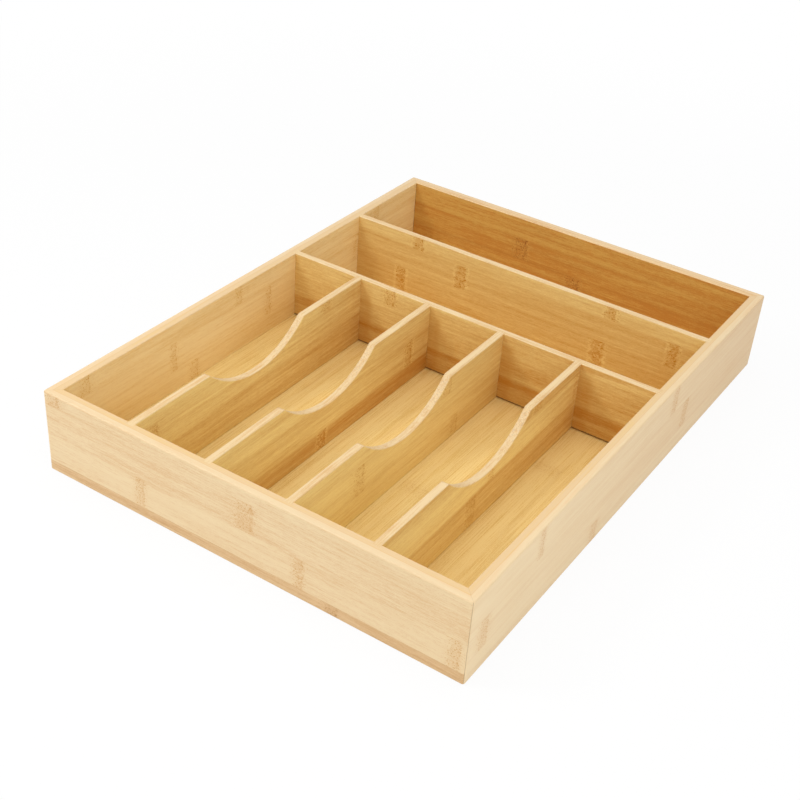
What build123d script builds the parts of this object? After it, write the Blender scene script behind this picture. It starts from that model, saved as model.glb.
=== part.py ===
from build123d import *
import os

# A bamboo drawer tray with an open top: four mitred wall boards round a grooved-in floor panel,
# two dividers across it, and four dividers along it with a scoop in each for the fingers.
# X runs to the right along the front, Y to the back and Z up, in millimetres.
# The origin is the middle of the footprint, on the surface that the tray stands on.

# Overall size
tray_width = 330.0
tray_depth = 442.0
tray_height = 63.5

# Boards
wall_thickness = 9.2
divider_thickness = 5.6
front_strip_height = 8.4

# Floor panel, let into a groove that runs round all four walls
floor_thickness = 3.5
floor_lift = 4.4
floor_groove_depth = 4.0
floor_groove_headroom = 0.1
floor_edge_clearance = 0.5

# Compartments: long ones side by side at the front, and two across the tray behind them
long_compartment_count = 5
long_compartment_length = 249.0
cross_compartment_count = 2

# Housings, the shallow slots that hold the dividers' ends
wall_housing_depth = 2.5
divider_housing_depth = 1.8
housing_side_clearance = 0.05

# Shadow gaps between the dividers and the floor
cross_divider_floor_gap = 0.8
long_divider_floor_gap = 0.3

# Finger scoops in the long dividers
scoop_width = 104.0
scoop_depth = 21.5
scoop_corner_radius = 3.0

# Eased edges
outer_corner_radius = 1.6
outer_edge_radius = 1.0
inner_edge_chamfer = 0.4
bottom_edge_chamfer = 0.5
divider_edge_chamfer = 0.4

# The hollow inside the walls
inner_width = tray_width - 2 * wall_thickness
inner_depth = tray_depth - 2 * wall_thickness
inner_left = -inner_width / 2
inner_front = -inner_depth / 2

# Levels
groove_height = floor_thickness + floor_groove_headroom
floor_top = floor_lift + floor_thickness
housing_bottom = floor_lift + groove_height / 2
cross_divider_bottom = floor_top + cross_divider_floor_gap
long_divider_bottom = floor_top + long_divider_floor_gap

# Places of the dividers' left and front faces, from equal compartments
long_divider_count = long_compartment_count - 1
long_compartment_width = (
    inner_width - long_divider_count * divider_thickness
) / long_compartment_count
long_divider_lefts = [
    inner_left + long_compartment_width + i * (long_compartment_width + divider_thickness)
    for i in range(long_divider_count)
]
cross_compartment_length = (
    inner_depth - long_compartment_length - cross_compartment_count * divider_thickness
) / cross_compartment_count
cross_divider_fronts = [
    inner_front + long_compartment_length + i * (cross_compartment_length + divider_thickness)
    for i in range(cross_compartment_count)
]
housing_width = divider_thickness + 2 * housing_side_clearance

os.makedirs("parts", exist_ok=True)


def save(piece, node_name):
    """Labels a finished piece and writes it as its own node."""
    piece.part.label = node_name
    export_step(piece.part, f"parts/{node_name}.step")


def make_wall_ring():
    """The four walls as one ring, grooved, housed and eased, before it is cut at the mitres."""
    with BuildPart() as ring:
        with BuildSketch():
            RectangleRounded(tray_width, tray_depth, outer_corner_radius)
            Rectangle(inner_width, inner_depth, mode=Mode.SUBTRACT)
        extrude(amount=tray_height)

        top_face = ring.faces().sort_by(Axis.Z)[-1]
        bottom_face = ring.faces().sort_by(Axis.Z)[0]
        inner_rim = top_face.inner_wires()[0].edges()
        outer_rim = top_face.outer_wire().edges()
        bottom_rim = bottom_face.outer_wire().edges()
        fillet(outer_rim, outer_edge_radius)
        chamfer(inner_rim, inner_edge_chamfer)
        chamfer(bottom_rim, bottom_edge_chamfer)

        with BuildSketch(Plane.XY.offset(floor_lift)):
            Rectangle(inner_width + 2 * floor_groove_depth, inner_depth + 2 * floor_groove_depth)
        extrude(amount=groove_height, mode=Mode.SUBTRACT)

        with BuildSketch(Plane.XY.offset(housing_bottom)):
            for front in cross_divider_fronts:
                with Locations((0, front + divider_thickness / 2)):
                    Rectangle(inner_width + 2 * wall_housing_depth, housing_width)
            for left in long_divider_lefts:
                with Locations((left + divider_thickness / 2, inner_front)):
                    Rectangle(housing_width, 2 * wall_housing_depth)
        extrude(amount=tray_height, mode=Mode.SUBTRACT)
    return ring


def cut_board(ring, turn, length, across, bottom, top):
    """One board of the ring between two mitres.

    turn says which wall it is, in degrees from the front one. length is the tray's size along
    that wall and across is its size square to it.
    """
    reach = 2 * wall_thickness
    outer_face = -across / 2
    outer_half = length / 2 + reach
    inner_half = length / 2 - reach
    plane = Plane.XY.rotated((0, 0, turn)).offset(bottom)
    with BuildPart() as board:
        add(ring.part)
        with BuildSketch(plane):
            with BuildLine():
                Polyline(
                    (-outer_half, outer_face - reach),
                    (outer_half, outer_face - reach),
                    (inner_half, outer_face + reach),
                    (-inner_half, outer_face + reach),
                    close=True,
                )
            make_face()
        extrude(amount=top - bottom, mode=Mode.INTERSECT)
    return board


def make_floor_panel():
    """The thin floor, which reaches into the groove on all sides."""
    margin = 2 * (floor_groove_depth - floor_edge_clearance)
    with BuildPart() as floor_panel:
        with BuildSketch(Plane.XY.offset(floor_lift)):
            Rectangle(inner_width + margin, inner_depth + margin)
        extrude(amount=floor_thickness)
    return floor_panel


def make_cross_divider(front, holds_long_dividers):
    """A divider from side wall to side wall, with square tongues in the walls' housings."""
    middle = front + divider_thickness / 2
    height = tray_height - cross_divider_bottom
    with BuildPart() as divider:
        with BuildSketch(Plane.XY.offset(cross_divider_bottom)):
            with Locations((0, middle)):
                Rectangle(inner_width, divider_thickness)
        extrude(amount=height)
        top_edges = divider.edges().filter_by(Axis.X).group_by(Axis.Z)[-1]
        chamfer(top_edges, divider_edge_chamfer)
        with BuildSketch(Plane.XY.offset(cross_divider_bottom)):
            for side in (-1, 1):
                with Locations((side * (inner_width + wall_housing_depth) / 2, middle)):
                    Rectangle(wall_housing_depth, divider_thickness)
        extrude(amount=height)
        if holds_long_dividers:
            with BuildSketch(Plane.XY.offset(cross_divider_bottom)):
                for left in long_divider_lefts:
                    with Locations((left + divider_thickness / 2, front)):
                        Rectangle(housing_width, 2 * divider_housing_depth)
            extrude(amount=tray_height, mode=Mode.SUBTRACT)
    return divider


def make_long_divider(left):
    """A divider from the front wall to the front cross divider, scooped from above.

    A square tongue at each end fills its housing to the top.
    """
    inner_back = cross_divider_fronts[0]
    tongues = (
        (inner_front - wall_housing_depth / 2, wall_housing_depth),
        (inner_back + divider_housing_depth / 2, divider_housing_depth),
    )
    scoop_middle = inner_front + long_compartment_length / 2
    scoop_front = scoop_middle - scoop_width / 2
    scoop_back = scoop_middle + scoop_width / 2
    with BuildPart() as divider:
        with BuildSketch(Plane.YZ.offset(left)) as side:
            with BuildLine():
                Polyline(
                    (scoop_front, tray_height),
                    (inner_front, tray_height),
                    (inner_front, long_divider_bottom),
                    (inner_back, long_divider_bottom),
                    (inner_back, tray_height),
                    (scoop_back, tray_height),
                )
                ThreePointArc(
                    (scoop_back, tray_height),
                    (scoop_middle, tray_height - scoop_depth),
                    (scoop_front, tray_height),
                )
            make_face()
            # In this sketch's own plane X runs to the back and Y runs up
            top_corners = side.vertices().group_by(Axis.Y)[-1].sort_by(Axis.X)
            fillet(top_corners[1:-1], scoop_corner_radius)
        extrude(amount=divider_thickness)
        side_faces = divider.faces().sort_by(Axis.X)
        outlines = side_faces[0].edges() + side_faces[-1].edges()
        top_edges = outlines.filter_by(Axis.Z, reverse=True).group_by(Axis.Z)[1:]
        chamfer([edge for group in top_edges for edge in group], divider_edge_chamfer)
        with BuildSketch(Plane.XY.offset(long_divider_bottom)):
            for middle, depth in tongues:
                with Locations((left + divider_thickness / 2, middle)):
                    Rectangle(divider_thickness, depth)
        extrude(amount=tray_height - long_divider_bottom)
    return divider


wall_ring = make_wall_ring()

front_board = cut_board(wall_ring, 0, tray_width, tray_depth, front_strip_height, tray_height)
save(front_board, "front_board")

front_lower_strip = cut_board(wall_ring, 0, tray_width, tray_depth, 0, front_strip_height)
save(front_lower_strip, "front_lower_strip")

right_board = cut_board(wall_ring, 90, tray_depth, tray_width, 0, tray_height)
save(right_board, "right_board")

back_board = cut_board(wall_ring, 180, tray_width, tray_depth, 0, tray_height)
save(back_board, "back_board")

left_board = cut_board(wall_ring, 270, tray_depth, tray_width, 0, tray_height)
save(left_board, "left_board")

floor_panel = make_floor_panel()
save(floor_panel, "floor_panel")

front_cross_divider = make_cross_divider(cross_divider_fronts[0], holds_long_dividers=True)
save(front_cross_divider, "front_cross_divider")

rear_cross_divider = make_cross_divider(cross_divider_fronts[1], holds_long_dividers=False)
save(rear_cross_divider, "rear_cross_divider")

for number, left in enumerate(long_divider_lefts, start=1):
    long_divider = make_long_divider(left)
    save(long_divider, f"long_divider_{number}")
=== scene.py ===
"""The looks of a bamboo drawer tray: the bamboo of each board, the studio and the camera.

The scene is in metres. The boards' faces and their materials are in millimetres.
"""

from math import radians
from typing import NamedTuple

import bmesh
import bpy
from bpy.props import FloatProperty, FloatVectorProperty, PointerProperty
from mathutils import Matrix, Vector


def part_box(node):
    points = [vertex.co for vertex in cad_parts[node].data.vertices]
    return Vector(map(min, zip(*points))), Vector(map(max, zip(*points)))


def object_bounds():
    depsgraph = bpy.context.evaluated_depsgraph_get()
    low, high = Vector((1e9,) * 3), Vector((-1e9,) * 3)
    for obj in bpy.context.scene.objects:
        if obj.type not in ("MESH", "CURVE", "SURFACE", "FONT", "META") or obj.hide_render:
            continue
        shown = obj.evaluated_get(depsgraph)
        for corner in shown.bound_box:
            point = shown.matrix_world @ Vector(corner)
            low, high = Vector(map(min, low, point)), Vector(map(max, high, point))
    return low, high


bl_info = {
    "name": "Bamboo Drawer Tray",
    "version": (1, 0, 0),
    "blender": (4, 5, 0),
    "location": "3D View > Sidebar > Tray",
    "description": "Gives the boards of a drawer tray their bamboo, and sets up the studio",
    "category": "Material",
}

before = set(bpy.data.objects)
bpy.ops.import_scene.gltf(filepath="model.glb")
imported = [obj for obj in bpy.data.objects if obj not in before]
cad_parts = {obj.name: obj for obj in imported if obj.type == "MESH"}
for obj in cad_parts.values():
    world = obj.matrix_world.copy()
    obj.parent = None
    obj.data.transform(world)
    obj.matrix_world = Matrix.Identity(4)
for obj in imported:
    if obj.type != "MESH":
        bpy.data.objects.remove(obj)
cad_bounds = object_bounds()

# Millimetres in a metre
MM = 1000.0


def low_corner(node_name):
    """The lowest corner of a board's box, in millimetres."""
    return [round(part * MM, 3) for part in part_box(node_name)[0]]


# The tray's outside and rim, and the lower edges of the boards that don't reach the ground
HALF_WIDTH, HALF_DEPTH, RIM = (round(part * MM, 3) for part in cad_bounds[1])
FRONT_FOOT = low_corner("front_board")[2]
CROSS_FOOT = low_corner("front_cross_divider")[2]
LONG_FOOT = low_corner("long_divider_1")[2]

# How far in from a wall's outer face its two layers meet
LAYER_DEPTH = 4.6

# A colour ramp carries each strip's knuckles, so their places and half lengths are scaled to 0 to 1
MOST_KNUCKLES = 3
FARTHEST_PLACE = 1000.0
LONGEST_HALF = 10.0
NO_KNUCKLE = (-FARTHEST_PLACE, 4.0)

# The scar lies beside a knuckle's middle, by this share of half its length
SCAR_PLACE = 0.75

# The painted shade inside a gap, and the dull ends of fibres that are cut through
GAP_SHADE = (0.13, 0.06, 0.022, 1.0)
END_GRAIN = (0.45, 0.33, 0.215, 1.0)

# The ground lies just under the tray, and the shadow on it fades out beyond this reach
GROUND_LEVEL = -0.0003
GROUND_HALF_WIDTH = 6.0
SHADOW_REACH = 0.32

# What the lamps face, and how wide the camera's sensor is, in millimetres
LAMPS_AIM = (0.0, 0.0, 0.03)
SENSOR_WIDTH = 36.0


class Strip(NamedTuple):
    """One strip of bamboo in a board's face.

    top is how far up the board it ends, and tone goes from 0, pale, to 1, dark. knuckles holds up
    to three pairs: a place along the board and half the length of the mark there.
    """

    top: float
    tone: float
    knuckles: tuple = ()


class Face(NamedTuple):
    """The strips that show on one face of a board, from the lowest up, and where the first starts.

    streaks says how strongly the face's fibres stand out, fine how much of that is thin threads,
    marks how strongly its knuckles do, and core how dark they are in the middle. sawn is how dark
    the layer's sawn edge is, and shade_drift how much darker the wood gets with each millimetre
    along it, a painted shade for the light that falls off along the board. blend is how far two
    strips' tones run into each other, and foot is how high the painted shade of the gap under the
    board reaches. The floor panel's strips go from left to right instead.
    """

    start: float
    streaks: float
    strips: tuple
    fine: float = 1.0
    marks: float = 1.0
    core: float = 0.1
    sawn: float = 0.25
    shade_drift: float = 0.0
    blend: float = 0.8
    foot: float = 0.0

    @property
    def strengths(self):
        return self.streaks, self.fine, self.marks, self.core, self.sawn, self.shade_drift


FRONT_OUTER = Face(FRONT_FOOT, 0.46, (
    Strip(31.0, 0.09, ((-82, 3.5), (46, 3.5), (157, 4.0))),
    Strip(54.0, 0.35, ((4, 7.0),)),
    Strip(RIM, 0.20, ((-157, 6.0),)),
), fine=1.6)
FRONT_INNER = Face(FRONT_FOOT, 0.40, (
    Strip(27.0, 0.50, ((-118, 3.5), (61, 4.0))),
    Strip(48.0, 0.30, ((-20, 4.0),)),
    Strip(RIM, 0.42, ((112, 3.5), (-74, 3.5))),
))
RIGHT_OUTER = Face(0.0, 0.24, (
    Strip(16.5, 0.22, ((-60, 5.0),)),
    Strip(40.0, 0.32, ((-204, 5.0), (79, 5.0))),
    Strip(RIM, 0.24, ((-140, 3.0), (54, 4.5))),
), marks=0.9, core=0.14, shade_drift=0.0012)
RIGHT_INNER = Face(0.0, 0.40, (
    Strip(22.0, 0.48, ((-12, 4.0), (190, 3.5))),
    Strip(44.0, 0.30, ((-148, 3.5), (96, 4.0))),
    Strip(RIM, 0.44, ((30, 3.5), (-96, 3.5))),
))
BACK_OUTER = Face(0.0, 0.30, (
    Strip(18.0, 0.30, ((-92, 4.0), (120, 3.5))),
    Strip(41.0, 0.16, ((14, 4.5),)),
    Strip(RIM, 0.28, ((-134, 3.5), (84, 5.0))),
), sawn=0.8)
BACK_INNER = Face(0.0, 0.64, (
    Strip(26.0, 0.72, ((6, 5.5),)),
    Strip(45.0, 0.66, ((-46, 5.0),)),
    Strip(RIM, 0.44),
), fine=1.3, marks=1.5, core=0.0, shade_drift=0.001)
LEFT_OUTER = Face(0.0, 0.30, (
    Strip(20.0, 0.26, ((-170, 3.5), (62, 4.0))),
    Strip(42.0, 0.18, ((-44, 4.5), (188, 3.5))),
    Strip(RIM, 0.30, ((126, 4.0), (-112, 3.5))),
), sawn=0.6)
LEFT_INNER = Face(0.0, 0.45, (
    Strip(24.0, 0.26, ((-84, 4.0),)),
    Strip(48.0, 0.22, ((-106, 3.0), (3, 3.0), (122, 4.0))),
    Strip(RIM, 0.32, ((-192, 4.0), (-33, 3.5), (150, 4.0))),
), core=0.06, sawn=0.0, shade_drift=0.0006)
# The board's one strip of bamboo runs past it above and below, so it shows no joint
LOWER_STRIP = Face(-4.0, 0.58, (
    Strip(12.0, 0.40, ((71, 4.5),)),
))
FRONT_CROSS = Face(CROSS_FOOT, 0.25, (
    Strip(21.5, 0.70),
    Strip(27.0, 0.89),
    Strip(50.0, 0.57),
    Strip(RIM, 0.50, ((-65, 4.5),)),
), fine=1.2, marks=1.3, core=0.03, shade_drift=0.0005, blend=1.8, foot=0.9)
REAR_CROSS = Face(CROSS_FOOT, 0.20, (
    Strip(31.0, 0.65, ((-111, 4.0), (73, 5.0))),
    Strip(52.0, 0.60, ((-54, 4.5), (133, 4.0))),
    Strip(RIM, 0.44, ((-96, 4.5), (79, 4.5))),
), fine=1.2, marks=1.3, core=0.16, shade_drift=0.0002, foot=0.9)
LONG_DIVIDERS = (
    Face(LONG_FOOT, 0.31, (
        Strip(27.0, 0.54),
        Strip(34.0, 0.60),
        Strip(54.0, 0.39, ((-195, 4.0),)),
        Strip(RIM, 0.34, ((-8, 5.0),)),
    ), marks=0.9, shade_drift=0.0012, blend=2.4),
    Face(LONG_FOOT, 0.26, (
        Strip(23.0, 0.87, ((-97, 4.0),)),
        Strip(45.0, 0.45, ((11, 4.0),)),
        Strip(RIM, 0.42),
    ), marks=1.7, core=0.04, shade_drift=0.0012, blend=1.2),
    Face(LONG_FOOT, 0.23, (
        Strip(26.0, 0.38, ((-25, 4.0),)),
        Strip(49.0, 0.31, ((-143, 5.5),)),
        Strip(RIM, 0.34, ((-38, 4.5),)),
    ), marks=0.8, core=0.08, shade_drift=0.0012),
    Face(LONG_FOOT, 0.29, (
        Strip(33.0, 0.58, ((-107, 5.0),)),
        Strip(56.0, 0.33, ((-84, 3.5), (35, 4.0))),
        Strip(RIM, 0.57, ((-25, 5.0),)),
    ), core=0.05, shade_drift=0.0012),
)

# Places along the front cross divider, at the right of each housing, where the long dividers' shadow is
# painted on
HOUSING_SHADOWS = (-88.8, -25.4, 38.1, 102.5)

# The floor panel's strips and, by their number from the left, the two that show a knuckle
FLOOR_START = -164.5
FLOOR_STRIP_WIDTH = 20.2
FLOOR_STRIP_COUNT = 16
FLOOR_KNUCKLES = {10: ((-95.0, 5.0),), 13: ((-18.0, 5.0),)}


class Lamp(NamedTuple):
    """Where a square lamp stands and how wide it is, in metres."""

    place: tuple
    width: float


LAMPS = {
    "top": Lamp((0.05, -0.1, 1.1), 0.9),
    "left": Lamp((-0.55, -0.6, 0.8), 0.3),
    "right": Lamp((0.72, -0.42, 0.5), 0.5),
}


class Value:
    """A node's output, on which Python's operators add Math nodes."""

    def __init__(self, shader, socket):
        self.shader = shader
        self.socket = socket

    def math(self, operation, *others):
        return self.shader.node("ShaderNodeMath", {"operation": operation}, (self, *others))

    def before(self, operation, other):
        return self.shader.node("ShaderNodeMath", {"operation": operation}, (other, self))

    def __add__(self, other):
        return self.math("ADD", other)

    def __sub__(self, other):
        return self.math("SUBTRACT", other)

    def __mul__(self, other):
        return self.math("MULTIPLY", other)

    def __truediv__(self, other):
        return self.math("DIVIDE", other)

    def __radd__(self, other):
        return self.before("ADD", other)

    def __rsub__(self, other):
        return self.before("SUBTRACT", other)

    def __rmul__(self, other):
        return self.before("MULTIPLY", other)

    def __rtruediv__(self, other):
        return self.before("DIVIDE", other)

    def __abs__(self):
        return self.math("ABSOLUTE")

    def clamped(self):
        return self.math("MAXIMUM", 0.0).math("MINIMUM", 1.0)

    def rise(self, low, high):
        """0 below low, 1 above high and a smooth step between them."""
        settings = {"interpolation_type": "SMOOTHSTEP"}
        return self.shader.node("ShaderNodeMapRange", settings, (self, low, high, 0.0, 1.0))


class Shader:
    """The node tree of a material or of the room, and the one way in which nodes get into it."""

    def __init__(self, owner):
        owner.use_nodes = True
        self.tree = owner.node_tree
        self.tree.nodes.clear()

    def node(self, kind, settings=None, inputs=(), output=0):
        """Adds a node, sets it up, fills its sockets with values or links and returns an output."""
        node = self.tree.nodes.new(kind)
        for name, setting in (settings or {}).items():
            if name == "stops":
                self.set_stops(node.color_ramp, setting)
            elif name == "ramp":
                node.color_ramp.interpolation = setting
            else:
                setattr(node, name, setting)
        pairs = inputs.items() if isinstance(inputs, dict) else enumerate(inputs)
        for key, value in pairs:
            if isinstance(value, Value):
                self.tree.links.new(value.socket, node.inputs[key])
            else:
                node.inputs[key].default_value = value
        return Value(self, node.outputs[output]) if node.outputs else None

    @staticmethod
    def set_stops(ramp, stops):
        while len(ramp.elements) < len(stops):
            ramp.elements.new(1.0)
        while len(ramp.elements) > len(stops):
            ramp.elements.remove(ramp.elements[-1])
        for element, (position, colour) in zip(ramp.elements, stops):
            element.position = position
            element.color = colour

    def vector(self, x, y, z):
        return self.node("ShaderNodeCombineXYZ", None, (x, y, z))

    def split(self, vector):
        """The three parts of a vector."""
        parts = self.node("ShaderNodeSeparateXYZ", None, (vector,)).socket.node.outputs
        return [Value(self, part) for part in parts]

    def mix(self, factor, first, second):
        """One colour laid over another."""
        settings = {"data_type": "RGBA", "clamp_factor": True}
        return self.node("ShaderNodeMix", settings, {0: factor, 6: first, 7: second}, 2)

    def noise(self, vector, detail=2.0, roughness=0.5):
        inputs = {"Vector": vector, "Scale": 1.0, "Detail": detail, "Roughness": roughness}
        return self.node("ShaderNodeTexNoise", None, inputs)


class Grain:
    """A board's own directions, read at a point: along its fibres, across them and through it."""

    def __init__(self, shader, axes, seed):
        self.shader = shader
        self.seed = seed
        metres = shader.node("ShaderNodeTexCoord", None, (), "Object")
        settings = {"operation": "SCALE"}
        place = shader.node("ShaderNodeVectorMath", settings, {0: metres, "Scale": MM})
        self.parts = dict(zip("xyz", shader.split(place)))
        self.along, self.across, self.through = (self.parts[axis] for axis in axes)
        normal = shader.node("ShaderNodeTexCoord", None, (), "Normal")
        facing = dict(zip("xyz", shader.split(normal)))
        self.level = abs(facing["z"])
        self.end_on = abs(facing[axes[0]])

    def fibres(self, length, width, detail=2.0, roughness=0.5, bend=0.0):
        """Noise drawn out along the grain, in streaks of about that length and width."""
        vector = self.shader.vector(
            self.along / length + self.seed, (self.across + bend) / width, self.through / width
        )
        return self.shader.noise(vector, detail, roughness) - 0.5

    def ramp(self, face, values, blend=0.0):
        """Each strip's three values up a face, which change at the joints or over a blend there."""
        span = face.strips[-1].top - face.start
        stops = [(0.0, (*values[0], 1.0))]
        for strip, below, above in zip(face.strips, values, values[1:]):
            joint = strip.top - face.start
            if blend:
                stops.append(((joint - blend) / span, (*below, 1.0)))
            stops.append(((joint + blend) / span, (*above, 1.0)))
        position = (self.across - face.start) / span
        settings = {"ramp": "LINEAR" if blend else "CONSTANT", "stops": stops}
        return self.shader.split(self.shader.node("ShaderNodeValToRGB", settings, (position,)))

    def read_strips(self, face):
        """Tone, millimetres to the next joint, and how far off a knuckle and its scar are."""
        marks = [
            list(strip.knuckles) + [NO_KNUCKLE] * (MOST_KNUCKLES - len(strip.knuckles))
            for strip in face.strips
        ]
        tone = self.ramp(face, [(strip.tone,) * 3 for strip in face.strips], face.blend)[0]
        reach = 2.0 * FARTHEST_PLACE
        shares = [[(place + FARTHEST_PLACE) / reach for place, half in row] for row in marks]
        places = self.ramp(face, shares)
        halves = self.ramp(face, [[half / LONGEST_HALF for place, half in row] for row in marks])
        wander = self.fibres(6.0, 5.0, detail=1.0) * 4.0
        offsets = [
            (self.along + wander - (place * reach - FARTHEST_PLACE)) / (half * LONGEST_HALF)
            for place, half in zip(places, halves)
        ]
        knuckle = nearest([abs(offset) for offset in offsets])
        scar = nearest([abs(offset - SCAR_PLACE) for offset in offsets])
        joint = nearest([abs(self.across - strip.top) for strip in face.strips])
        return tone, joint, knuckle, scar


def nearest(gaps):
    """The smallest of some distances."""
    least = gaps[0]
    for gap in gaps[1:]:
        least = least.math("MINIMUM", gap)
    return least


def look_colours(look):
    """The colours of a look as a node's socket takes them."""
    return [(*colour, 1.0) for colour in (look.pale, look.dark, look.mark, look.edge)]


class Bamboo:
    """What a board's bamboo is at a point: its strip and layer, the fibres and the knuckles."""

    def __init__(self, shader, grain, layers, outward, run):
        self.shader = shader
        self.grain = grain
        self.outward = outward
        self.read_layers(*layers)
        self.draw_knuckles()
        self.draw_fibres(run)

    def read_layers(self, outer, inner=None):
        """Reads the strips of the layer that the point lies in, and the glue between two layers."""
        face, look = outer
        strips = self.grain.read_strips(face)
        strengths = face.strengths
        colours = look_colours(look)
        self.glue = 0.0
        if inner:
            inner_face, inner_look = inner
            depth = abs(self.grain.through - self.outward)
            share = depth.rise(LAYER_DEPTH - 0.05, LAYER_DEPTH + 0.05)
            inner_strips = self.grain.read_strips(inner_face)
            strips = [first + (second - first) * share for first, second in zip(strips, inner_strips)]
            pairs = zip(strengths, inner_face.strengths)
            strengths = [first + share * (second - first) for first, second in pairs]
            pairs = zip(colours, look_colours(inner_look))
            colours = [self.shader.mix(share, first, second) for first, second in pairs]
            self.glue = 1.0 - abs(depth - LAYER_DEPTH).rise(0.1, 0.5)
        self.tone, self.joint, self.knuckle, self.scar = strips
        self.streaky, self.fine, self.marked, self.cored, self.sawn, self.shade_drift = strengths
        self.pale, self.dark, self.mark, self.edge = colours
        self.seam = 1.0 - self.joint.rise(0.1, 0.35)

    def draw_knuckles(self):
        """Draws a knuckle: its core, the halo round it, the dots and curls in that, and its scar."""
        fibres = self.grain.fibres
        self.core = 1.0 - self.knuckle.rise(0.3, 1.2)
        self.halo = 1.0 - self.knuckle.rise(0.6, 2.4)
        self.dots = fibres(1.3, 1.0, roughness=0.6).rise(0.07, 0.13) * self.halo
        curls = (1.0 - abs(fibres(4.5, 1.6)).rise(0.0, 0.04)) * self.halo
        scars = (1.0 - self.scar.rise(0.05, 0.32)) * (0.55 + fibres(3.0, 3.0, detail=1.0) * 3.0).clamped()
        stain = self.core * self.cored + self.halo * 0.06 + self.dots * 0.60 + curls * 0.14 + scars * 0.26
        self.stain = (stain * self.marked).clamped()

    def draw_fibres(self, run):
        """Draws the fibres, from broad bands, streaks and threads, which bend at knuckles, to hairs."""
        fibres = self.grain.fibres
        swirl = fibres(2.6, 2.0, detail=1.0) * 2.0 * self.halo
        self.bands = fibres(140.0 * run, 4.6, detail=1.0, bend=swirl)
        self.streaks = fibres(40.0 * run, 1.6, bend=swirl)
        self.threads = fibres(14.0 * run, 0.7, bend=swirl)
        self.hairs = fibres(5.0 * run, 0.33, roughness=0.6)
        self.grit = fibres(1.1, 0.8, detail=1.0)
        self.warmth = fibres(90.0, 7.0, detail=1.0)

    def lay_strips(self):
        """The strips' faces, with the fibres in them and the glue between them."""
        thin = (self.threads * 1.6 + self.hairs * 2.7 + self.grit) * self.fine
        weave = self.bands * 2.4 + self.streaks * 1.9 + thin
        # The wood darkens along the board: painted shade for the falloff of the light along it
        tone = self.tone + self.grain.along * self.shade_drift
        colour = self.shader.mix((tone + weave * self.streaky).clamped(), self.pale, self.dark)
        colour = self.shader.mix((self.warmth * 3.0).clamped() * 0.14, colour, self.mark)
        shaded = (1.0 - self.joint.rise(0.2, 2.4)) * (0.5 + self.warmth * 2.0).clamped()
        return self.shader.mix(shaded * 0.10 + self.seam * 0.08, colour, self.mark)

    def lay_knuckles(self, colour):
        """The knuckles over that, each with its stain, a pale rim and pale eyes."""
        rim = 1.0 - abs(self.knuckle - 1.4).rise(0.0, 0.5)
        eyes = self.grain.fibres(3.2, 2.2, detail=1.0).rise(0.02, 0.12) * self.halo
        colour = self.shader.mix((rim * 0.16 + eyes * 0.3) * self.marked, colour, self.pale)
        return self.shader.mix(self.stain, colour, self.mark)

    def paint_housing_shadows(self, colour, places):
        """Painted shadow on the outer face beside its housings, where the long dividers shade it, most of
        all low down.
        """
        gap = nearest([abs(self.grain.along + self.grit * 3.0 - place) for place in places])
        beside = 1.0 - gap.rise(3.0, 9.5)
        low = 1.0 - self.grain.across.rise(46.0, 60.0) * 0.7
        outside = 1.0 - abs(self.grain.through - self.outward).rise(0.5, 1.0)
        return self.shader.mix(beside * low * outside * 0.32, colour, self.mark)

    def paint_gap_shade(self, colour, face):
        """A painted dark line along the board's lower edge: the shade in the gap under it."""
        height = self.grain.across + self.grit * 1.5 - face.start
        line = 1.0 - height.rise(face.foot * 0.5, face.foot * 1.2)
        return self.shader.mix(line * 0.81, colour, GAP_SHADE)

    def saw_edges(self):
        """The sawn edges: cut fibres, the glue between two layers and dull specks of end grain."""
        cut = self.sawn + self.bands + self.streaks * 2.4 + self.threads * 2.2 + self.grit * 0.8
        colour = self.shader.mix(cut.clamped() * 0.5 + self.stain * 0.15, self.edge, self.dark)
        colour = self.shader.mix(self.glue * 0.2, colour, self.mark)
        specks = self.grain.fibres(0.7, 0.6, detail=1.0).rise(0.0, 0.14)
        return self.shader.mix(specks * self.grain.end_on.rise(0.1, 0.6) * 0.5, colour, END_GRAIN)

    def relief(self):
        """How high the fibres and the knuckles stand, and how low the joints lie."""
        fibres = self.hairs * 0.9 + self.threads * 0.8 + self.streaks * 0.5
        return fibres + self.core * 0.2 + self.dots * 0.3 - self.seam * 0.4 - self.glue * 0.2

    def mitre_slit(self):
        """The slit where two boards meet in a corner of the tray."""
        from_side = HALF_WIDTH - abs(self.grain.parts["x"])
        from_end = HALF_DEPTH - abs(self.grain.parts["y"])
        return 1.0 - abs(from_side - from_end).rise(0.08, 0.3)


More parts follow.
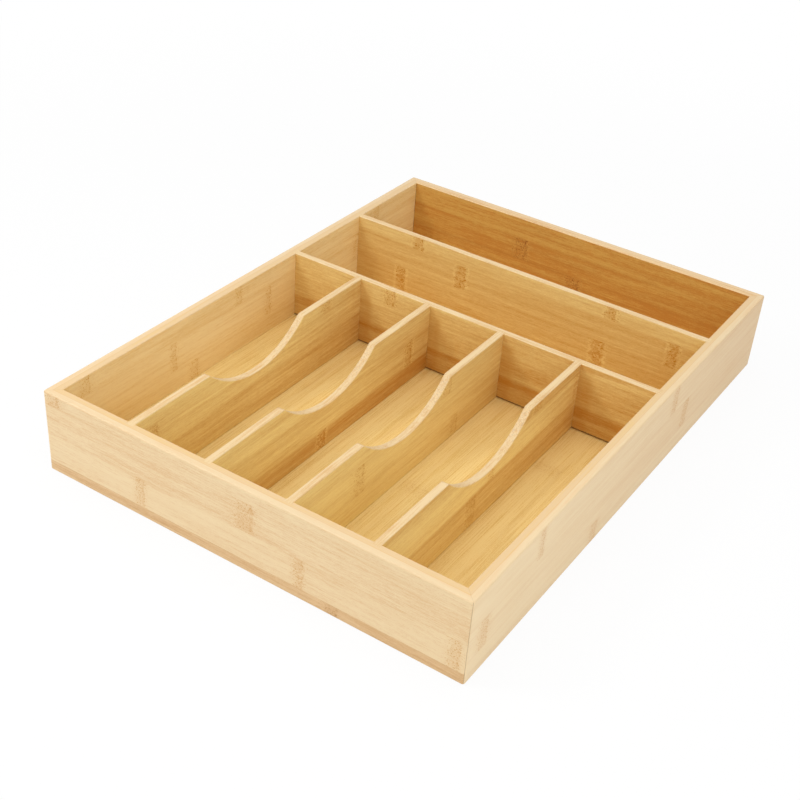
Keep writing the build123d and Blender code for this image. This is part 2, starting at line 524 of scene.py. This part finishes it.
def lay_bamboo(name, axes, seed, layers, outward=0.0, mitred=False, run=1.0, shadow_places=()):
    """A material for one board, of one or two layers of strips.

    axes are the axes along the grain, across it and through the board. layers holds each
    layer's face and look, from the outer one in, and outward is where the outer face lies on
    the axis through the board. run is how many times a wall's fibres the board's are long, and
    shadow_places are the places along the outer face, beside the housings, where a shadow is painted.
    """
    material = bpy.data.materials.new(name)
    shader = Shader(material)
    grain = Grain(shader, axes, seed)
    bamboo = Bamboo(shader, grain, layers, outward, run)
    face = layers[0][0]
    colour = bamboo.lay_knuckles(bamboo.lay_strips())
    # Painted shadow of the long dividers on the outer face, beside the housings
    if shadow_places:
        colour = bamboo.paint_housing_shadows(colour, shadow_places)
    # Painted shade of the gap under the board, as a dark line along its lower edge
    if face.foot:
        colour = bamboo.paint_gap_shade(colour, face)
    # A board on edge shows its sawn edges where it is level, and the floor panel where it isn't
    level = grain.level.rise(0.35, 0.8)
    edges = 1.0 - level if axes[2] == "z" else level
    colour = shader.mix(edges, colour, bamboo.saw_edges())
    height = bamboo.relief()
    if mitred:
        # The slit in a mitred corner is painted with the shade inside it
        slit = bamboo.mitre_slit()
        colour = shader.mix(slit * (0.55 - edges * 0.4), colour, GAP_SHADE)
        height = height - slit * 0.8
    bump = shader.node("ShaderNodeBump", None, {"Strength": 0.4, "Distance": 0.0001, "Height": height})
    surface = shader.node("ShaderNodeBsdfPrincipled", None, {
        "Base Color": colour,
        "Roughness": 0.46 + bamboo.streaks * 0.25 + bamboo.stain * 0.12,
        "Specular IOR Level": 0.3,
        "Normal": bump,
    })
    shader.node("ShaderNodeOutputMaterial", None, (surface,))
    return material


def dress(node_name, material):
    """Gives a board's object its material."""
    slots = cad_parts[node_name].data.materials
    slots.clear()
    slots.append(material)


def colour_property(name, description, default):
    return FloatVectorProperty(
        name=name, description=description, default=default, min=0.0, max=1.0, subtype="COLOR"
    )


class OuterLook(bpy.types.PropertyGroup):
    """The outer layer of the walls."""

    pale: colour_property("Pale", "Palest bamboo of the outer faces", (0.86, 0.67, 0.403))
    dark: colour_property("Dark", "Darkest streaks of the outer faces", (0.75, 0.492, 0.25))
    mark: colour_property("Knuckles", "Knuckles and joints of the outer faces", (0.60, 0.27, 0.045))
    edge: colour_property("Edge", "Sanded edge of the outer layer", (0.765, 0.59, 0.358))


class InnerLook(bpy.types.PropertyGroup):
    """The inner layer of the front and side walls."""

    pale: colour_property("Pale", "Palest bamboo of the inner faces", (0.93, 0.74, 0.402))
    dark: colour_property("Dark", "Darkest streaks of the inner faces", (0.76, 0.51, 0.186))
    mark: colour_property("Knuckles", "Knuckles and joints of the inner faces", (0.62, 0.31, 0.02))
    edge: colour_property("Edge", "Sanded edge of the inner layer", (0.73, 0.52, 0.285))


class BackLook(bpy.types.PropertyGroup):
    """The deep orange inner layer of the back wall."""

    pale: colour_property("Pale", "Palest bamboo of the back wall's inner face", (0.66, 0.39, 0.096))
    dark: colour_property("Dark", "Darkest streaks of the back wall's inner face", (0.535, 0.229, 0.0405))
    mark: colour_property("Knuckles", "Knuckles and joints of the back wall", (0.30, 0.085, 0.012))
    edge: colour_property("Edge", "Sanded edge of the back wall's inner layer", (0.79, 0.56, 0.30))


class StripLook(bpy.types.PropertyGroup):
    """The darker strip under the front board."""

    pale: colour_property("Pale", "Palest bamboo of the lower strip", (0.78, 0.54, 0.29))
    dark: colour_property("Dark", "Darkest streaks of the lower strip", (0.62, 0.37, 0.16))
    mark: colour_property("Knuckles", "Knuckles of the lower strip", (0.46, 0.22, 0.06))
    edge: colour_property("Edge", "Sanded edge of the lower strip", (0.80, 0.56, 0.30))


class DividerLook(bpy.types.PropertyGroup):
    """The dividers along and across the tray."""

    pale: colour_property("Pale", "Palest bamboo of the dividers", (0.93, 0.748, 0.315))
    dark: colour_property("Dark", "Darkest streaks of the dividers", (0.565, 0.264, 0.047))
    mark: colour_property("Knuckles", "Knuckles and joints of the dividers", (0.50, 0.19, 0.004))
    edge: colour_property("Edge", "Sanded top edges and scoops of the dividers", (0.765, 0.572, 0.315))


class FloorLook(bpy.types.PropertyGroup):
    """The floor panel."""

    pale: colour_property("Pale", "Palest bamboo of the floor", (0.91, 0.695, 0.297))
    dark: colour_property("Dark", "Darkest streaks of the floor", (0.745, 0.485, 0.138))
    mark: colour_property("Knuckles", "Knuckles and joints of the floor", (0.52, 0.22, 0.02))
    edge: colour_property("Edge", "Sawn rim of the floor, in its groove", (0.85, 0.64, 0.36))


class StudioLook(bpy.types.PropertyGroup):
    """The lights, the ground and the camera."""

    lens: FloatProperty(
        name="Lens", description="Focal length on a 36 mm wide sensor", default=59.279, min=20.0, max=200.0,
        subtype="DISTANCE_CAMERA",
    )
    camera_place: FloatVectorProperty(
        name="Camera", description="Where the camera stands", default=(0.40223, -0.70356, 0.55377),
        subtype="XYZ", unit="LENGTH",
    )
    camera_turn: FloatVectorProperty(
        name="Camera turn", description="How the camera is turned, a little tilted to one side",
        default=(radians(55.9622), radians(-3.6267), radians(33.8119)), subtype="EULER", unit="ROTATION",
    )
    sky: FloatProperty(
        name="Room light", description="Strength of the white room's light", default=0.68, min=0.0, max=2.0,
    )
    top: FloatProperty(
        name="Top lamp", description="Power of the lamp over the middle of the tray", default=3.6, min=0.0,
        max=50.0, unit="POWER",
    )
    left: FloatProperty(
        name="Left lamp", description="Power of the lamp at the front left", default=3.3, min=0.0, max=50.0,
        unit="POWER",
    )
    right: FloatProperty(
        name="Right lamp", description="Power of the low lamp at the right", default=1.15, min=0.0,
        max=50.0, unit="POWER",
    )
    ground_glow: FloatProperty(
        name="Ground white", description="Share of plain white in the ground near the tray",
        default=0.92, min=0.0, max=1.0, subtype="FACTOR",
    )


LOOKS = {
    "tray_outer": OuterLook,
    "tray_inner": InnerLook,
    "tray_back": BackLook,
    "tray_strip": StripLook,
    "tray_divider": DividerLook,
    "tray_floor": FloorLook,
    "tray_studio": StudioLook,
}


class TRAY_OT_wall_boards(bpy.types.Operator):
    """Lays two layers of bamboo strips in each of the four walls"""

    bl_idname = "tray.wall_boards"
    bl_label = "Finish Wall Boards"

    def execute(self, context):
        scene = context.scene
        inner, back = scene.tray_inner, scene.tray_back
        boards = (
            ("front_board", "xzy", FRONT_OUTER, FRONT_INNER, inner, -HALF_DEPTH, 3.0),
            ("back_board", "xzy", BACK_OUTER, BACK_INNER, back, HALF_DEPTH, 11.0),
            ("left_board", "yzx", LEFT_OUTER, LEFT_INNER, inner, -HALF_WIDTH, 19.0),
            ("right_board", "yzx", RIGHT_OUTER, RIGHT_INNER, inner, HALF_WIDTH, 27.0),
        )
        for node_name, axes, face, inner_face, inner_look, outward, seed in boards:
            layers = ((face, scene.tray_outer), (inner_face, inner_look))
            material = lay_bamboo(f"{node_name}_bamboo", axes, seed, layers, outward, mitred=True)
            dress(node_name, material)
        return {"FINISHED"}


class TRAY_OT_lower_strip(bpy.types.Operator):
    """Lays the darker strip under the front board"""

    bl_idname = "tray.lower_strip"
    bl_label = "Finish Lower Strip"

    def execute(self, context):
        layers = ((LOWER_STRIP, context.scene.tray_strip),)
        material = lay_bamboo("lower_strip_bamboo", "xzy", 35.0, layers, mitred=True)
        dress("front_lower_strip", material)
        return {"FINISHED"}


class TRAY_OT_cross_dividers(bpy.types.Operator):
    """Lays the bamboo strips of the two dividers across the tray"""

    bl_idname = "tray.cross_dividers"
    bl_label = "Finish Cross Dividers"

    def execute(self, context):
        look = context.scene.tray_divider
        for node_name, face, shadow_places, seed in (
            ("front_cross_divider", FRONT_CROSS, HOUSING_SHADOWS, 43.0),
            ("rear_cross_divider", REAR_CROSS, (), 51.0),
        ):
            front = low_corner(node_name)[1]
            layers = ((face, look),)
            material = lay_bamboo(f"{node_name}_bamboo", "xzy", seed, layers, front, shadow_places=shadow_places)
            dress(node_name, material)
        return {"FINISHED"}


class TRAY_OT_long_dividers(bpy.types.Operator):
    """Lays the bamboo strips of the four scooped dividers along the tray"""

    bl_idname = "tray.long_dividers"
    bl_label = "Finish Long Dividers"

    def execute(self, context):
        look = context.scene.tray_divider
        for number, face in enumerate(LONG_DIVIDERS, start=1):
            node_name = f"long_divider_{number}"
            seed = 60.0 + 7.0 * number
            material = lay_bamboo(f"{node_name}_bamboo", "yzx", seed, ((face, look),))
            dress(node_name, material)
        return {"FINISHED"}


def make_floor_strips():
    """The floor's strips, in seven tones that follow each other out of order."""
    return tuple(
        Strip(
            top=FLOOR_START + (i + 1) * FLOOR_STRIP_WIDTH,
            tone=0.23 + 0.03 * ((i * 5) % 7 - 3),
            knuckles=FLOOR_KNUCKLES.get(i, ()),
        )
        for i in range(FLOOR_STRIP_COUNT)
    )


class TRAY_OT_floor_panel(bpy.types.Operator):
    """Lays the narrow strips of the floor panel"""

    bl_idname = "tray.floor_panel"
    bl_label = "Finish Floor Panel"

    def execute(self, context):
        face = Face(FLOOR_START, 0.48, make_floor_strips(), fine=2.6, marks=0.5)
        layers = ((face, context.scene.tray_floor),)
        dress("floor_panel", lay_bamboo("floor_bamboo", "yxz", 101.0, layers, run=5.0))
        return {"FINISHED"}


class TRAY_OT_studio(bpy.types.Operator):
    """Sets up the white room, its ground, the lamps and the camera"""

    bl_idname = "tray.studio"
    bl_label = "Set Up Studio"

    def execute(self, context):
        look = context.scene.tray_studio
        make_room(context.scene, look)
        make_ground(look)
        for side, lamp in LAMPS.items():
            make_lamp(f"{side}_lamp", lamp, getattr(look, side))
        make_camera(context.scene, look)
        context.scene.view_settings.view_transform = "Standard"
        return {"FINISHED"}


def seen_plainly(shader):
    """1 where the camera sees a surface, by itself or in a gloss, and 0 for all other light."""
    path = shader.node("ShaderNodeLightPath").socket.node.outputs
    seen = Value(shader, path["Is Camera Ray"])
    for name in ("Is Glossy Ray", "Is Transmission Ray"):
        seen = seen.math("MAXIMUM", Value(shader, path[name]))
    return seen


def make_room(scene, look):
    """A white room that lights the tray softly, and that is plain white to the camera."""
    room = bpy.data.worlds.new("white_room")
    shader = Shader(room)
    strength = look.sky + seen_plainly(shader) * (1.0 - look.sky)
    settings = {"Color": (1.0, 1.0, 1.0, 1.0), "Strength": strength}
    shader.node("ShaderNodeOutputWorld", None, (shader.node("ShaderNodeBackground", None, settings),))
    scene.world = room


def make_ground(look):
    """A wide white floor, just under the tray, that keeps the tray's shadow near it."""
    mesh = bpy.data.meshes.new("ground")
    shape = bmesh.new()
    bmesh.ops.create_grid(shape, x_segments=1, y_segments=1, size=GROUND_HALF_WIDTH)
    bmesh.ops.translate(shape, verts=shape.verts, vec=(0.0, 0.0, GROUND_LEVEL))
    shape.to_mesh(mesh)
    shape.free()
    ground = bpy.data.objects.new("ground", mesh)
    bpy.context.scene.collection.objects.link(ground)
    material = bpy.data.materials.new("ground_white")
    shader = Shader(material)
    matt = shader.node("ShaderNodeBsdfDiffuse", None, {"Color": (0.86, 0.86, 0.86, 1.0)})
    white = shader.node("ShaderNodeEmission", None, {"Color": (1.0, 1.0, 1.0, 1.0), "Strength": 1.0})
    x, y, _ = shader.split(shader.node("ShaderNodeTexCoord", None, (), "Object"))
    far = (x * x + y * y).math("SQRT").rise(SHADOW_REACH, 3.0 * SHADOW_REACH)
    glow = seen_plainly(shader) * (look.ground_glow + far * (1.0 - look.ground_glow))
    surface = shader.node("ShaderNodeMixShader", None, (glow, matt, white))
    shader.node("ShaderNodeOutputMaterial", None, (surface,))
    mesh.materials.append(material)


def make_lamp(name, lamp, power):
    """A soft square lamp that faces the middle of the tray."""
    light = bpy.data.lights.new(name, "AREA")
    light.shape = "SQUARE"
    light.size = lamp.width
    light.energy = power
    holder = bpy.data.objects.new(name, light)
    holder.visible_camera = False
    place = Vector(lamp.place)
    turn = (Vector(LAMPS_AIM) - place).to_track_quat("-Z", "Y")
    holder.matrix_world = Matrix.LocRotScale(place, turn, None)
    bpy.context.scene.collection.objects.link(holder)


def make_camera(scene, look):
    """The camera at the photograph's place, a little tilted to one side as it was held."""
    data = bpy.data.cameras.new("camera")
    data.lens = look.lens
    data.sensor_width = SENSOR_WIDTH
    data.clip_start = 0.01
    data.clip_end = 50.0
    camera = bpy.data.objects.new("camera", data)
    camera.matrix_world = Matrix.LocRotScale(look.camera_place, look.camera_turn, None)
    scene.collection.objects.link(camera)
    scene.camera = camera


OPERATORS = (
    TRAY_OT_wall_boards,
    TRAY_OT_lower_strip,
    TRAY_OT_cross_dividers,
    TRAY_OT_long_dividers,
    TRAY_OT_floor_panel,
    TRAY_OT_studio,
)


class TRAY_PT_sidebar(bpy.types.Panel):
    """Lists the tray's pieces and what can be changed on them"""

    bl_idname = "TRAY_PT_sidebar"
    bl_label = "Bamboo Drawer Tray"
    bl_space_type = "VIEW_3D"
    bl_region_type = "UI"
    bl_category = "Tray"

    def draw(self, context):
        for operator in OPERATORS:
            self.layout.operator(operator.bl_idname)
        for name in LOOKS:
            box = self.layout.box()
            box.label(text=name.replace("tray_", "").capitalize())
            look = getattr(context.scene, name)
            for key in look.bl_rna.properties.keys():
                if key not in ("name", "rna_type"):
                    box.prop(look, key)


def register():
    for kind in (*LOOKS.values(), *OPERATORS, TRAY_PT_sidebar):
        bpy.utils.register_class(kind)
    for name, kind in LOOKS.items():
        setattr(bpy.types.Scene, name, PointerProperty(type=kind))


def unregister():
    for name in LOOKS:
        delattr(bpy.types.Scene, name)
    for kind in (TRAY_PT_sidebar, *reversed(OPERATORS), *reversed(LOOKS.values())):
        bpy.utils.unregister_class(kind)


def main():
    register()
    bpy.ops.tray.wall_boards()
    bpy.ops.tray.lower_strip()
    bpy.ops.tray.cross_dividers()
    bpy.ops.tray.long_dividers()
    bpy.ops.tray.floor_panel()
    bpy.ops.tray.studio()


if __name__ == "__main__":
    main()
